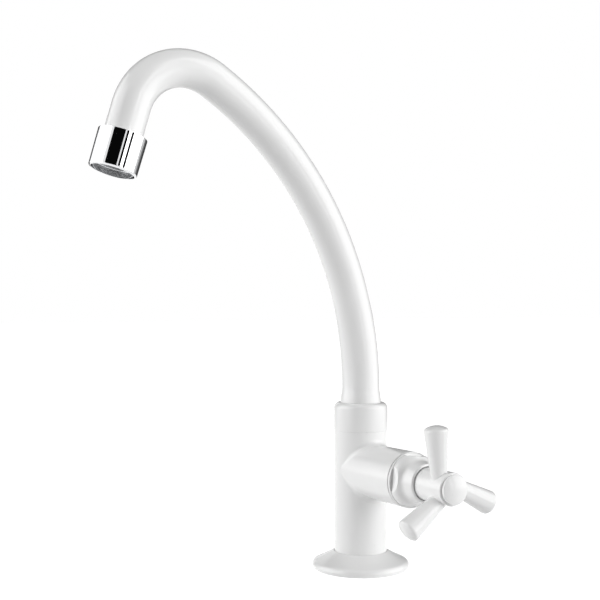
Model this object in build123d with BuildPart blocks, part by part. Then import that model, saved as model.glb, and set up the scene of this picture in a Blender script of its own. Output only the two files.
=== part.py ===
from build123d import *
import math
import os

# A swivel-spout kitchen tap that stands on a worktop.
# Millimetres, +Z up. The origin is the centre of the tap's foot on the worktop.
# The valve branch runs along +X and the spout, at rest, points along -Y.

# Clearances, each written once
run_gap = 0.05  # radial, shaft in its hole
thread_gap = 0.05  # radial, between a male and a female thread
loose_gap = 0.3  # between moving pieces that never rub
seam_gap = 0.25  # the fine line between two covers
collar_gap = 0.05  # the collar is screwed down tight on the column
slip_gap = 0.15  # radial, a piece dropped into its seat
skirt_gap = 0.55  # radial, the handle's skirt in the bonnet's recess
cap_gap = 0.1  # between the hub's end and its cap
edge_round = 0.3  # the moulded edge of every outer corner that has no other round

# Column and branch
column_radius = 14.0
neck_radius = 12.0
neck_height = 9.9
branch_axis_height = 53.0
seam_above_branch = 20.7  # where the column ends under the collar
branch_root_radius = 13.95
branch_end_radius = 14.15
branch_end = 44.2
branch_blend = 3.0
inlet_bore_radius = 6.0
inlet_bore_rise = 4.0  # above the branch axis
seat_bore_radius = 4.0
seat_wall = 14.0  # where the valve chamber starts, from the column axis
chamber_radius = 9.3
chamber_thread_start = 28.0
outlet_port_radius = 2.6
outlet_port_from = (20.0, 5.0)  # out along the branch, up from its axis
outlet_port_end = 3.0  # out from the column's axis, in the socket's floor
socket_depth = 13.1  # down from the neck's end

# Foot, shank and clamp under the worktop
flange_radius = 26.0
flange_rim_height = 1.8
flange_shoulder_height = 4.3
flange_height = 9.4
flange_undercut = 0.8
gasket_inner_radius = 16.0
gasket_outer_radius = 23.5
gasket_thickness = 2.2
shank_radius = 10.4775  # G 1/2 thread, 20.955 over its crests
shank_bore_radius = 6.5
shank_seat = 16.0  # how far it reaches up into the column
shank_length = 48.0  # below the worktop's top face
shank_chamfer = 1.0
shank_relief_gap = 0.5  # below the clamp nut
shank_relief_width = 1.5
shank_relief_depth = 1.16  # down to the thread's root
worktop_thickness = 20.0
clamp_gasket_thickness = 2.0
clamp_gasket_radius = 17.0
clamp_washer_thickness = 1.5
clamp_washer_radius = 18.0
clamp_nut_flats = 30.0
clamp_nut_height = 8.0
clamp_nut_chamfer = 1.0

# Collar that keeps the spout down
collar_radius = 14.3
collar_height = 14.9
collar_round = 3.0
collar_wall = 2.2
collar_lip_gap = 0.3

# Spout: a swan neck of two arcs
tube_radius = 9.6
tube_wall = 2.1
tube_foot_radius = 10.8
tube_foot_length = 9.6  # straight, above the stem's shoulder
tube_foot_fullness = 0.6  # how much of the flare is left half way up the foot
sweep_radius = 182.4
sweep_angle = 58.4
crest_run = 1.9
crest_radius = 29.2
crest_angle = 104.9
outlet_run = 14.7

# Stem that turns in the column's neck
stem_radius = 8.5
stem_bore_radius = 5.2
stem_floor_gap = 1.0
stem_shoulder_radius = 11.6
stem_shoulder_height = 2.0
slip_washer_thickness = 0.8
slip_washer_inner_radius = 9.0
thrust_ring_thickness = 0.7
stem_oring_section = 1.8
stem_oring_heights = (3.0, 7.5)  # above the stem's lower end

# Outlet: threaded insert, chrome housing, flow insert
outlet_thread_radius = 10.95
outlet_thread_length = 8.5
outlet_spigot_length = 12.0
outlet_bore_radius = 6.0
housing_radius = 12.0
housing_end_radius = 11.75  # the housing narrows a little towards its mouth
housing_height = 18.6
housing_step = 10.6
housing_bore_radius = 10.1
housing_mouth_radius = 10.6
housing_mouth_depth = 3.5
housing_top_round = 0.25
housing_bottom_round = 1.0
outlet_gasket_thickness = 1.1
outlet_gasket_bore = 7.5
flow_insert_height = 4.5
flow_insert_wall = 1.4
flow_grid_thickness = 1.2
flow_hole_radius = 0.6
flow_hole_pitch = 2.1
flow_hole_rings = 3
screen_thickness = 0.6
screen_hole_radius = 0.5
screen_hole_pitch = 1.9
screen_hole_rings = 3

# Bonnet: a round piece with four flats that closes the branch and holds the valve
bonnet_seal_thickness = 0.8
bonnet_seal_radius = 13.0
bonnet_ring_radius = 14.15
bonnet_ring_inner_radius = 13.7
bonnet_ring_thickness = 1.0
bonnet_floor_thickness = 0.5  # of the ring's web, seen beside the flats
bonnet_radius = 13.8
bonnet_flats = 24.6
bonnet_lean = 6.0  # degrees, how far the flats lean back from upright
bonnet_side = 4.2
bonnet_shoulder_radius = 10.6
bonnet_shoulder_end = 7.35
bonnet_length = 13.8
bonnet_face_radius = 9.7
bonnet_shoulder_round = 5.5
bonnet_nose_blend = 4.0
bonnet_face_round = 1.1
bonnet_spigot_radius = 10.45
bonnet_cage_radius = 8.9
bonnet_cage_floor_gap = 1.0
bonnet_recess_depth = 2.2
bonnet_neck_radius = 6.6
bonnet_neck_length = 2.0
valve_bore_radius = 7.4
window_half_angle = 60.0
window_start = 20.4

# Valve: rubber seat, two ceramic discs, spindle
seat_gasket_thickness = 2.6
fixed_disc_thickness = 3.2
moving_disc_thickness = 2.8
disc_port_radius = 1.9
disc_port_offset = 4.2
disc_slot_depth = 0.9
tongue_width = 2.4
driver_gap = 0.8
driver_thickness = 2.6
spindle_washer_thickness = 0.8
spindle_radius = 4.0
spindle_oring_section = 1.5
spindle_oring_places = (8.0, 13.0)  # beyond the spindle washer
spindle_clip_thickness = 0.8
spindle_clip_radius = 5.6
spindle_clip_groove = 3.0
spindle_flats = 5.6
spindle_end_length = 9.5
quarter_turn = 90.0

# Handle: hub with three arms set beside its axis, domed cap and screw
skirt_radius = 8.15
skirt_inner_radius = 7.2
skirt_depth = 4.0
skirt_sink = 0.6  # how far the skirt stands in the bonnet's recess
hub_end_radius = 8.1
hub_end_round = 0.5
hub_length = 20.3
arm_station = 13.7  # from the skirt's edge to the arms
arm_offset = 2.95  # how far each arm stands beside the hub's axis
arm_count = 3
arm_rest_angle = 4.4  # degrees, how far the first arm leans at rest
arm_length = 30.6
arm_root_radius = 3.45
arm_tip_radius = 6.0
arm_dome = 1.9
arm_edge_round = 1.5
arm_root_blend = 0.25
cap_radius = 7.3
cap_neck_radius = 6.5  # the dome overhangs its neck, which leaves a groove
cap_height = 3.9
cap_rim = 1.75
cap_rim_round = 0.4
cap_spigot_radius = 6.1
cap_spigot_inner_radius = 4.7
cap_spigot_length = 2.6
cap_recess_depth = 3.4
screw_radius = 1.6
screw_head_radius = 3.6
screw_head_height = 2.2
screw_hole_radius = 1.75
screw_web = 2.5
screw_drive_width = 1.0
screw_drive_length = 4.6
screw_drive_depth = 1.2

# Places that follow from those sizes
column_height = branch_axis_height + seam_above_branch
neck_top = column_height + neck_height
socket_floor = neck_top - socket_depth
collar_base = column_height + collar_gap
collar_top = collar_base + collar_height
collar_inner_radius = collar_radius - collar_wall
stem_base = socket_floor + stem_floor_gap
shoulder_base = neck_top + slip_washer_thickness
shoulder_top = shoulder_base + stem_shoulder_height
tube_straight_top = shoulder_top + tube_foot_length
lip_base = shoulder_top + run_gap + thrust_ring_thickness
socket_radius = stem_radius + run_gap
tube_bore_radius = tube_radius - tube_wall
lip_hole_radius = tube_foot_radius + collar_lip_gap
seal_face = branch_end + bonnet_seal_thickness
bonnet_front = seal_face + bonnet_length
neck_end = bonnet_front + bonnet_neck_length
fixed_disc_start = seat_wall + seat_gasket_thickness
moving_disc_start = fixed_disc_start + fixed_disc_thickness
moving_disc_end = moving_disc_start + moving_disc_thickness
driver_start = moving_disc_end + driver_gap
driver_end = driver_start + driver_thickness
valve_bore_end = driver_end + spindle_washer_thickness
disc_radius = valve_bore_radius - slip_gap
skirt_edge = bonnet_front - skirt_sink
hub_end = skirt_edge + hub_length
arm_plane = skirt_edge + arm_station
spindle_end = skirt_edge + skirt_depth + spindle_end_length
clip_start = neck_end + slip_gap
clamp_nut_top = -(worktop_thickness + clamp_gasket_thickness + clamp_washer_thickness)

# Turning planes: local X is the radius and local Y runs along the piece's own axis
upright = Plane.XZ
along_branch = Plane(origin=(0, 0, branch_axis_height), x_dir=(0, 0, 1), z_dir=(0, 1, 0))
under_branch = Plane(origin=(0, 0, branch_axis_height), x_dir=(0, 0, -1), z_dir=(0, -1, 0))
spout_plane = Plane(origin=(0, 0, 0), x_dir=(0, -1, 0), z_dir=(-1, 0, 0))
branch_axis = Axis((0, 0, branch_axis_height), (1, 0, 0))


def across(station):
    """The plane square to the branch, at a distance out along it, with local Y up."""
    return Plane(origin=(station, 0, branch_axis_height), x_dir=(0, 1, 0), z_dir=(1, 0, 0))


def turned(plane, *outline, mode=Mode.ADD):
    """Spins an outline of (radius, distance) corners about the plane's own Y axis."""
    with BuildSketch(plane) as profile:
        with BuildLine():
            Polyline(*outline, close=True)
        make_face()
    revolve(profile.sketch, axis=Axis(plane.origin, plane.y_dir), mode=mode)


def ring(plane, outer, inner, start, end, mode=Mode.ADD):
    """A plain turned ring between two distances along the plane's Y axis."""
    turned(plane, (inner, start), (outer, start), (outer, end), (inner, end), mode=mode)


def rubber_ring(plane, outer, section, place):
    """A round-section sealing ring of a given outer radius."""
    with BuildSketch(plane) as profile:
        with Locations((outer - section / 2, place)):
            Circle(section / 2)
    revolve(profile.sketch, axis=Axis(plane.origin, plane.y_dir))


def ring_groove(plane, outer, section, place):
    """The square groove that a sealing ring lies in."""
    half_width = section * 0.6
    floor = outer - section
    ring(plane, outer + section, floor, place - half_width, place + half_width, mode=Mode.SUBTRACT)


def nearest_corner(sketch, radius, distance):
    """The corner of a turning profile that is nearest to a radius and a distance."""
    return sketch.vertices().sort_by_distance((radius, distance))[0]


def sector(plane, half_angle, reach, direction):
    """A wedge-shaped face about the plane's centre, open to a reach."""
    spread = reach * math.tan(math.radians(half_angle))
    with BuildSketch(plane) as wedge:
        with Locations(Rotation(0, 0, direction)):
            Polygon((0, 0), (reach, -spread), (reach, spread), align=None)
    return wedge.sketch


def hole_field(plane, radius, pitch, rings):
    """Round holes on a hexagonal field, one in the middle and rings of six, twelve and so on."""
    with BuildSketch(plane) as field:
        Circle(radius)
        for step in range(1, rings + 1):
            with PolarLocations(step * pitch, 6 * step):
                Circle(radius)
    return field.sketch


# Tap body: column, neck, branch and its waterways in one moulding
with BuildPart() as tap_body:
    with BuildSketch(Plane.XY):
        Circle(column_radius)
    extrude(amount=column_height)
    with BuildSketch(across(0)):
        Circle(branch_root_radius)
    with BuildSketch(across(branch_end)):
        Circle(branch_end_radius)
    loft()
    saddle = [
        edge for edge in tap_body.edges()
        if edge.geom_type not in (GeomType.CIRCLE, GeomType.LINE)
    ]
    fillet(saddle, radius=branch_blend)
    branch_rim = tap_body.edges().filter_by(GeomType.CIRCLE).sort_by(Axis.X)[-1]
    fillet(branch_rim, radius=edge_round)
    ring(upright, neck_radius, 0, column_height, neck_top)
    # foot bore for the shank, then the inlet bore up to just over the branch axis
    ring(upright, shank_radius + thread_gap, 0, 0, shank_seat, mode=Mode.SUBTRACT)
    inlet_top = branch_axis_height + inlet_bore_rise
    ring(upright, inlet_bore_radius, 0, shank_seat, inlet_top, mode=Mode.SUBTRACT)
    # seat bore, valve chamber and the wider thread for the bonnet
    ring(along_branch, seat_bore_radius, 0, 0, seat_wall, mode=Mode.SUBTRACT)
    ring(along_branch, chamber_radius, 0, seat_wall, branch_end, mode=Mode.SUBTRACT)
    thread_bore = bonnet_spigot_radius + thread_gap
    ring(along_branch, thread_bore, 0, chamber_thread_start, branch_end, mode=Mode.SUBTRACT)
    # socket for the spout's stem, and the slanted port that feeds it
    ring(upright, socket_radius, 0, socket_floor, neck_top, mode=Mode.SUBTRACT)
    port_start = Vector(outlet_port_from[0], 0, branch_axis_height + outlet_port_from[1])
    port_end = Vector(outlet_port_end, 0, stem_base)
    port = port_end - port_start
    with BuildSketch(Plane(origin=port_start, z_dir=port)):
        Circle(outlet_port_radius)
    extrude(amount=port.length, mode=Mode.SUBTRACT)
tap_body.part.label = "tap_body"

# Foot: flared flange with a rounded rim, gasket let into its underside
with BuildPart() as base_flange:
    with BuildSketch(upright):
        with BuildLine():
            bore_edge = column_radius + seam_gap / 2
            slope_top = (bore_edge, flange_height)
            slope_foot = (flange_radius - flange_rim_height, flange_shoulder_height)
            slope_middle = (
                (slope_top[0] + slope_foot[0]) / 2,
                (slope_top[1] + slope_foot[1]) / 2 - seam_gap,
            )
            slope = ThreePointArc(slope_top, slope_middle, slope_foot)
            rim = TangentArc(slope @ 1, (flange_radius, flange_rim_height), tangent=slope % 1)
            Polyline(
                rim @ 1,
                (flange_radius - flange_undercut, 0),
                (bore_edge, 0),
                slope @ 0,
            )
        make_face()
    revolve(axis=Axis.Z)
    ring(
        upright, gasket_outer_radius + slip_gap, gasket_inner_radius - slip_gap,
        0, gasket_thickness, mode=Mode.SUBTRACT,
    )
base_flange.part.label = "base_flange"

with BuildPart() as deck_gasket:
    ring(upright, gasket_outer_radius, gasket_inner_radius, 0, gasket_thickness)
deck_gasket.part.label = "deck_gasket"

# Shank: its thread is a plain cylinder over the crests, with a relief under the clamp nut
with BuildPart() as inlet_shank:
    relief_top = clamp_nut_top - clamp_nut_height - shank_relief_gap
    relief_foot = relief_top - shank_relief_width
    relief_radius = shank_radius - shank_relief_depth
    turned(
        upright,
        (shank_bore_radius, -shank_length),
        (shank_radius - shank_chamfer, -shank_length),
        (shank_radius, shank_chamfer - shank_length),
        (shank_radius, relief_foot),
        (relief_radius, relief_foot),
        (relief_radius, relief_top),
        (shank_radius, relief_top),
        (shank_radius, shank_seat),
        (shank_bore_radius, shank_seat),
    )
inlet_shank.part.label = "inlet_shank"

clamp_hole_radius = shank_radius + loose_gap
with BuildPart() as clamp_gasket:
    gasket_under = -worktop_thickness - clamp_gasket_thickness
    ring(upright, clamp_gasket_radius, clamp_hole_radius, gasket_under, -worktop_thickness)
clamp_gasket.part.label = "clamp_gasket"

with BuildPart() as clamp_washer:
    ring(upright, clamp_washer_radius, clamp_hole_radius, clamp_nut_top, gasket_under)
clamp_washer.part.label = "clamp_washer"

with BuildPart() as clamp_nut:
    with BuildSketch(Plane.XY.offset(clamp_nut_top - clamp_nut_height)):
        RegularPolygon(clamp_nut_flats / 2, 6, major_radius=False)
        Circle(shank_radius + thread_gap, mode=Mode.SUBTRACT)
    extrude(amount=clamp_nut_height)
    nut_corner = clamp_nut_flats / math.sqrt(3)
    nut_middle = clamp_nut_top - clamp_nut_height / 2
    half_straight = clamp_nut_height / 2 - clamp_nut_chamfer
    nut_face_radius = clamp_nut_flats / 2 - clamp_nut_chamfer / 2
    turned(
        upright,
        (0, clamp_nut_top - clamp_nut_height),
        (nut_face_radius, clamp_nut_top - clamp_nut_height),
        (nut_corner, nut_middle - half_straight),
        (nut_corner, nut_middle + half_straight),
        (nut_face_radius, clamp_nut_top),
        (0, clamp_nut_top),
        mode=Mode.INTERSECT,
    )
clamp_nut.part.label = "clamp_nut"

# Collar: screwed over the neck, its lip holds the stem's shoulder down
with BuildPart() as spout_collar:
    ring(upright, collar_radius, lip_hole_radius, collar_base, collar_top)
    top_edge = spout_collar.edges().filter_by(GeomType.CIRCLE).group_by(Axis.Z)[-1].sort_by(SortBy.RADIUS)[-1]
    fillet(top_edge, radius=collar_round)
    ring(upright, collar_inner_radius, 0, collar_base, lip_base, mode=Mode.SUBTRACT)
spout_collar.part.label = "spout_collar"

with BuildPart() as slip_washer:
    washer_edge = neck_radius - slip_gap
    ring(upright, washer_edge, slip_washer_inner_radius, neck_top, shoulder_base)
slip_washer.part.label = "slip_washer"

with BuildPart() as thrust_ring:
    ring(
        upright, collar_inner_radius - slip_gap, tube_foot_radius + slip_gap,
        lip_base - thrust_ring_thickness, lip_base,
    )
thrust_ring.part.label = "thrust_ring"

# Stem: turns in the socket on two rings, its spigot is fixed in the tube's foot
with BuildPart() as spout_stem:
    ring(upright, stem_radius, stem_bore_radius, stem_base, shoulder_base)
    ring(upright, stem_shoulder_radius, stem_bore_radius, shoulder_base, shoulder_top)
    ring(upright, tube_bore_radius - thread_gap, stem_bore_radius, shoulder_top, tube_straight_top)
    for rise in stem_oring_heights:
        ring_groove(upright, stem_radius, stem_oring_section, stem_base + rise)
spout_stem.part.label = "spout_stem"

stem_orings = []
for rise in stem_oring_heights:
    with BuildPart() as stem_oring:
        rubber_ring(upright, stem_radius, stem_oring_section, stem_base + rise)
    stem_orings.append(stem_oring)
stem_orings[0].part.label = "stem_oring_lower"
stem_orings[1].part.label = "stem_oring_upper"

# Spout tube: flared foot, long rising arc, tight crest, short straight outlet
with BuildLine(spout_plane) as route:
    foot_run = Line((0, shoulder_top), (0, tube_straight_top))
    rise_arc = JernArc(foot_run @ 1, foot_run % 1, sweep_radius, -sweep_angle)
    crest_line = PolarLine(rise_arc @ 1, crest_run, direction=rise_arc % 1)
    crest_arc = JernArc(crest_line @ 1, crest_line % 1, crest_radius, -crest_angle)
    PolarLine(crest_arc @ 1, outlet_run, direction=crest_arc % 1)
spout_path = route.wires()[0]
outlet_point = spout_path @ 1
outlet_direction = spout_path % 1

with BuildPart() as spout_tube:
    with BuildSketch(Plane(origin=spout_path @ 0, z_dir=spout_path % 0)):
        Circle(tube_radius)
    sweep(path=spout_path)
    with BuildSketch(upright):
        with BuildLine():
            foot_curve = ThreePointArc(
                (tube_foot_radius, shoulder_top),
                (
                    tube_radius + (tube_foot_radius - tube_radius) * tube_foot_fullness,
                    (shoulder_top + tube_straight_top) / 2,
                ),
                (tube_radius, tube_straight_top),
            )
            Polyline(foot_curve @ 1, (0, tube_straight_top), (0, shoulder_top), foot_curve @ 0)
        make_face()
    revolve(axis=Axis.Z)
    with BuildSketch(Plane(origin=spout_path @ 0, z_dir=spout_path % 0)):
        Circle(tube_bore_radius)
    sweep(path=spout_path, mode=Mode.SUBTRACT)
spout_tube.part.label = "spout_tube"

# Outlet pieces, turned about the tube's end
nozzle = Plane(origin=outlet_point, x_dir=(1, 0, 0), z_dir=Vector(1, 0, 0).cross(outlet_direction))


def nozzle_plane(distance):
    """The plane square to the outlet, at a distance beyond the tube's end."""
    return Plane(origin=outlet_point + outlet_direction * distance, x_dir=(1, 0, 0), z_dir=outlet_direction)


with BuildPart() as outlet_adaptor:
    ring(nozzle, tube_bore_radius - thread_gap, outlet_bore_radius, -outlet_spigot_length, 0)
    ring(nozzle, outlet_thread_radius, outlet_bore_radius, 0, outlet_thread_length)
outlet_adaptor.part.label = "outlet_adaptor"

flow_flange_start = outlet_thread_length + outlet_gasket_thickness
with BuildPart() as aerator_housing:
    with BuildSketch(nozzle) as housing_profile:
        with BuildLine():
            Polyline(
                (0, 0),
                (housing_radius, 0),
                (housing_end_radius, housing_height),
                (0, housing_height),
                close=True,
            )
        make_face()
        fillet(nearest_corner(housing_profile, housing_radius, 0), radius=housing_top_round)
        mouth_corner = nearest_corner(housing_profile, housing_end_radius, housing_height)
        fillet(mouth_corner, radius=housing_bottom_round)
    revolve(axis=Axis(nozzle.origin, nozzle.y_dir))
    thread_inner = outlet_thread_radius + thread_gap
    ring(nozzle, thread_inner, 0, 0, housing_step, mode=Mode.SUBTRACT)
    mouth_start = housing_height - housing_mouth_depth
    ring(nozzle, housing_bore_radius, 0, housing_step, mouth_start, mode=Mode.SUBTRACT)
    ring(nozzle, housing_mouth_radius, 0, mouth_start, housing_height, mode=Mode.SUBTRACT)
aerator_housing.part.label = "aerator_housing"

with BuildPart() as aerator_gasket:
    gasket_edge = outlet_thread_radius - slip_gap
    ring(nozzle, gasket_edge, outlet_gasket_bore, outlet_thread_length, flow_flange_start)
aerator_gasket.part.label = "aerator_gasket"

# Flow insert: a cup with a flange, a mesh shelf and a perforated lower face
with BuildPart() as aerator_insert:
    insert_radius = housing_bore_radius - slip_gap
    insert_inner = insert_radius - flow_insert_wall
    insert_end = housing_step + flow_insert_height
    ring(nozzle, outlet_thread_radius - slip_gap, insert_inner, flow_flange_start, housing_step)
    ring(nozzle, insert_radius, insert_inner, housing_step, insert_end)
    ring(nozzle, insert_inner, 0, insert_end - flow_grid_thickness, insert_end)
    grid_plane = nozzle_plane(insert_end - flow_grid_thickness)
    grid_holes = hole_field(grid_plane, flow_hole_radius, flow_hole_pitch, flow_hole_rings)
    extrude(grid_holes, amount=flow_grid_thickness, mode=Mode.SUBTRACT)
aerator_insert.part.label = "aerator_insert"

with BuildPart() as aerator_screen:
    screen_start = housing_step
    screen_end = screen_start + screen_thickness
    ring(nozzle, insert_inner - run_gap, 0, screen_start, screen_end)
    screen_plane = nozzle_plane(screen_start)
    screen_holes = hole_field(screen_plane, screen_hole_radius, screen_hole_pitch, screen_hole_rings)
    extrude(screen_holes, amount=screen_thickness, mode=Mode.SUBTRACT)
aerator_screen.part.label = "aerator_screen"

# Bonnet seal: flat rubber ring between the branch's end and the bonnet
with BuildPart() as bonnet_seal:
    ring(along_branch, bonnet_seal_radius, thread_bore, branch_end, seal_face)
bonnet_seal.part.label = "bonnet_seal"

# Bonnet: round body with four flats in a thin ring, threaded spigot, and a cage round the valve
with BuildPart() as valve_bonnet:
    with BuildSketch(under_branch) as bonnet_profile:
        with BuildLine():
            Polyline(
                (0, seal_face),
                (bonnet_radius, seal_face),
                (bonnet_radius, seal_face + bonnet_side),
                (bonnet_shoulder_radius, seal_face + bonnet_shoulder_end),
                (bonnet_face_radius, bonnet_front),
                (0, bonnet_front),
                close=True,
            )
        make_face()
        shoulder = nearest_corner(bonnet_profile, bonnet_radius, seal_face + bonnet_side)
        fillet(shoulder, radius=bonnet_shoulder_round)
        nose = nearest_corner(bonnet_profile, bonnet_shoulder_radius, seal_face + bonnet_shoulder_end)
        fillet(nose, radius=bonnet_nose_blend)
        fillet(nearest_corner(bonnet_profile, bonnet_face_radius, bonnet_front), radius=bonnet_face_round)
    revolve(axis=branch_axis)
    with BuildSketch(across(seal_face)) as bonnet_square:
        Rectangle(bonnet_flats, bonnet_flats, rotation=-bonnet_lean)
    extrude(bonnet_square.sketch, amount=bonnet_length, mode=Mode.INTERSECT)
    ring_end = seal_face + bonnet_ring_thickness
    ring(along_branch, bonnet_ring_radius, 0, seal_face, seal_face + bonnet_floor_thickness)
    ring(along_branch, bonnet_ring_radius, bonnet_ring_inner_radius, seal_face, ring_end)
    recess_floor = bonnet_front - bonnet_recess_depth
    recess_radius = skirt_radius + skirt_gap
    ring(along_branch, recess_radius, 0, recess_floor, bonnet_front, mode=Mode.SUBTRACT)
    ring(along_branch, bonnet_neck_radius, 0, recess_floor, neck_end)
    ring(along_branch, bonnet_spigot_radius, 0, chamber_thread_start, seal_face)
    cage_start = seat_wall + bonnet_cage_floor_gap
    ring(along_branch, bonnet_cage_radius, 0, cage_start, chamber_thread_start)
    ring(along_branch, valve_bore_radius, 0, cage_start, valve_bore_end, mode=Mode.SUBTRACT)
    spindle_hole = spindle_radius + run_gap
    ring(along_branch, spindle_hole, 0, valve_bore_end, neck_end, mode=Mode.SUBTRACT)
    for side in (90, 270):
        window = sector(across(window_start), window_half_angle, 2 * bonnet_cage_radius, side)
        extrude(window, amount=valve_bore_end - window_start, mode=Mode.SUBTRACT)
valve_bonnet.part.label = "valve_bonnet"

with BuildPart() as seat_gasket:
    ring(along_branch, disc_radius, seat_bore_radius + slip_gap, seat_wall, fixed_disc_start)
seat_gasket.part.label = "seat_gasket"

# Lower disc: two round ports that stand one above the other
with BuildPart() as fixed_disc:
    with BuildSketch(across(fixed_disc_start)):
        Circle(disc_radius)
        with Locations((0, disc_port_offset), (0, -disc_port_offset)):
            Circle(disc_port_radius, mode=Mode.SUBTRACT)
    extrude(amount=fixed_disc_thickness)
fixed_disc.part.label = "fixed_disc"

# Upper disc: two notches, side by side when shut, and a slot for the spindle's tongue
with BuildPart() as moving_disc:
    with BuildSketch(across(moving_disc_start)):
        Circle(disc_radius)
        for side in (1, -1):
            notch_length = disc_radius - disc_port_offset + disc_port_radius
            with Locations((side * (disc_radius - notch_length / 2 + disc_port_radius), 0)):
                SlotOverall(notch_length + 2 * disc_port_radius, 2 * disc_port_radius, mode=Mode.SUBTRACT)
    extrude(amount=moving_disc_thickness)
    with BuildSketch(across(moving_disc_end - disc_slot_depth)):
        Rectangle(tongue_width + 2 * slip_gap, 2 * disc_radius)
    extrude(amount=disc_slot_depth, mode=Mode.SUBTRACT)
moving_disc.part.label = "moving_disc"

with BuildPart() as spindle_washer:
    ring(along_branch, disc_radius, spindle_radius + slip_gap, driver_end, valve_bore_end)
spindle_washer.part.label = "spindle_washer"

# Spindle: tongue, driver with two stop lugs that run in the windows, shaft, flatted end
with BuildPart() as spindle:
    driver_radius = valve_bore_radius - loose_gap
    ring(along_branch, driver_radius, 0, driver_start, driver_end)
    with BuildSketch(across(moving_disc_end - disc_slot_depth + slip_gap)):
        Rectangle(tongue_width, 2 * disc_port_offset)
    extrude(amount=driver_start - moving_disc_end + disc_slot_depth - slip_gap)
    lug_clearance = math.degrees(loose_gap / bonnet_cage_radius)
    lug_half_angle = window_half_angle - quarter_turn / 2 - lug_clearance
    lug_radius = bonnet_cage_radius - slip_gap
    with BuildPart(mode=Mode.PRIVATE) as lug_disc:
        ring(along_branch, lug_radius, 0, driver_start, driver_end)
    for side in (90, 270):
        wedge = sector(across(driver_start), lug_half_angle, 2 * lug_radius, side - quarter_turn / 2)
        with BuildPart(mode=Mode.PRIVATE) as lug:
            extrude(wedge, amount=driver_thickness)
        add(lug.part & lug_disc.part)
    shaft_end = skirt_edge + skirt_depth
    ring(along_branch, spindle_radius, 0, driver_end, shaft_end)
    with BuildSketch(across(shaft_end)):
        Circle(spindle_radius - slip_gap)
        Rectangle(spindle_flats, 2 * spindle_radius, mode=Mode.INTERSECT)
    extrude(amount=spindle_end_length)
    ring(along_branch, screw_radius + run_gap, 0, shaft_end - skirt_depth, spindle_end, mode=Mode.SUBTRACT)
    for place in spindle_oring_places:
        ring_groove(along_branch, spindle_radius, spindle_oring_section, valve_bore_end + place)
    clip_groove_end = clip_start + spindle_clip_thickness
    ring(
        along_branch, 2 * spindle_radius, spindle_clip_groove, clip_start, clip_groove_end,
        mode=Mode.SUBTRACT,
    )
spindle.part.label = "spindle"

spindle_orings = []
for place in spindle_oring_places:
    with BuildPart() as spindle_oring:
        rubber_ring(along_branch, spindle_radius, spindle_oring_section, valve_bore_end + place)
    spindle_orings.append(spindle_oring)
spindle_orings[0].part.label = "spindle_oring_inner"
spindle_orings[1].part.label = "spindle_oring_outer"

# Clip: open ring snapped into the spindle's groove, outside the neck
with BuildPart() as spindle_clip:
    ring(along_branch, spindle_clip_radius, spindle_clip_groove, clip_start, clip_groove_end)
    with BuildSketch(across(clip_start)):
        with Locations((0, -spindle_clip_radius)):
            Rectangle(1.4 * spindle_clip_groove, 2 * spindle_clip_radius)
    extrude(amount=spindle_clip_thickness, mode=Mode.SUBTRACT)
spindle_clip.part.label = "spindle_clip"


def arm_plane_at(turn):
    """The turning plane of one arm: it points away from the hub, set beside the hub's axis."""
    angle = math.radians(turn)
    outward = Vector(0, -math.sin(angle), math.cos(angle))
    beside = Vector(0, -math.cos(angle), -math.sin(angle))
    centre = Vector(arm_plane, 0, branch_axis_height) + beside * arm_offset
    return Plane(origin=centre, x_dir=(1, 0, 0), z_dir=Vector(1, 0, 0).cross(outward))


# Handle: hub, skirt and three tapered arms with shallow domed ends.
# The hub's outline is drawn under the axis, where its seam falls between two arms.
with BuildPart() as handle:
    with BuildSketch(under_branch) as hub_profile:
        with BuildLine():
            Polyline(
                (0, skirt_edge),
                (skirt_radius, skirt_edge),
                (hub_end_radius, hub_end),
                (0, hub_end),
                close=True,
            )
        make_face()
        fillet(nearest_corner(hub_profile, skirt_radius, skirt_edge), radius=edge_round)
        fillet(nearest_corner(hub_profile, hub_end_radius, hub_end), radius=hub_end_round)
    revolve(axis=branch_axis)
    for number in range(arm_count):
        arm_axis = arm_plane_at(arm_rest_angle + number * 360 / arm_count)
        with BuildSketch(arm_axis) as arm_profile:
            with BuildLine():
                flank_end = (arm_tip_radius, arm_length - arm_dome)
                Line((arm_root_radius, 0), flank_end)
                dome_radius = (arm_tip_radius**2 + arm_dome**2) / (2 * arm_dome)
                RadiusArc(flank_end, (0, arm_length), -dome_radius)
                Polyline((0, arm_length), (0, 0), (arm_root_radius, 0))
            make_face()
            fillet(nearest_corner(arm_profile, *flank_end), radius=arm_edge_round)
        revolve(axis=Axis(arm_axis.origin, arm_axis.y_dir))
    arm_roots = [
        edge for edge in handle.edges()
        if edge.geom_type not in (GeomType.CIRCLE, GeomType.LINE)
    ]
    fillet(arm_roots, radius=arm_root_blend)
    ring(along_branch, skirt_inner_radius, 0, skirt_edge, shaft_end, mode=Mode.SUBTRACT)
    with BuildSketch(across(shaft_end)):
        Circle(spindle_radius - slip_gap + run_gap)
        Rectangle(spindle_flats + 2 * run_gap, 2 * spindle_radius, mode=Mode.INTERSECT)
    extrude(amount=spindle_end_length, mode=Mode.SUBTRACT)
    web_end = spindle_end + screw_web
    ring(along_branch, screw_hole_radius, 0, spindle_end, web_end, mode=Mode.SUBTRACT)
    cap_recess = hub_end - cap_recess_depth
    ring(along_branch, screw_head_radius + loose_gap, 0, web_end, hub_end, mode=Mode.SUBTRACT)
    ring(along_branch, cap_spigot_radius + run_gap, 0, cap_recess, hub_end, mode=Mode.SUBTRACT)
handle.part.label = "handle"

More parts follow.
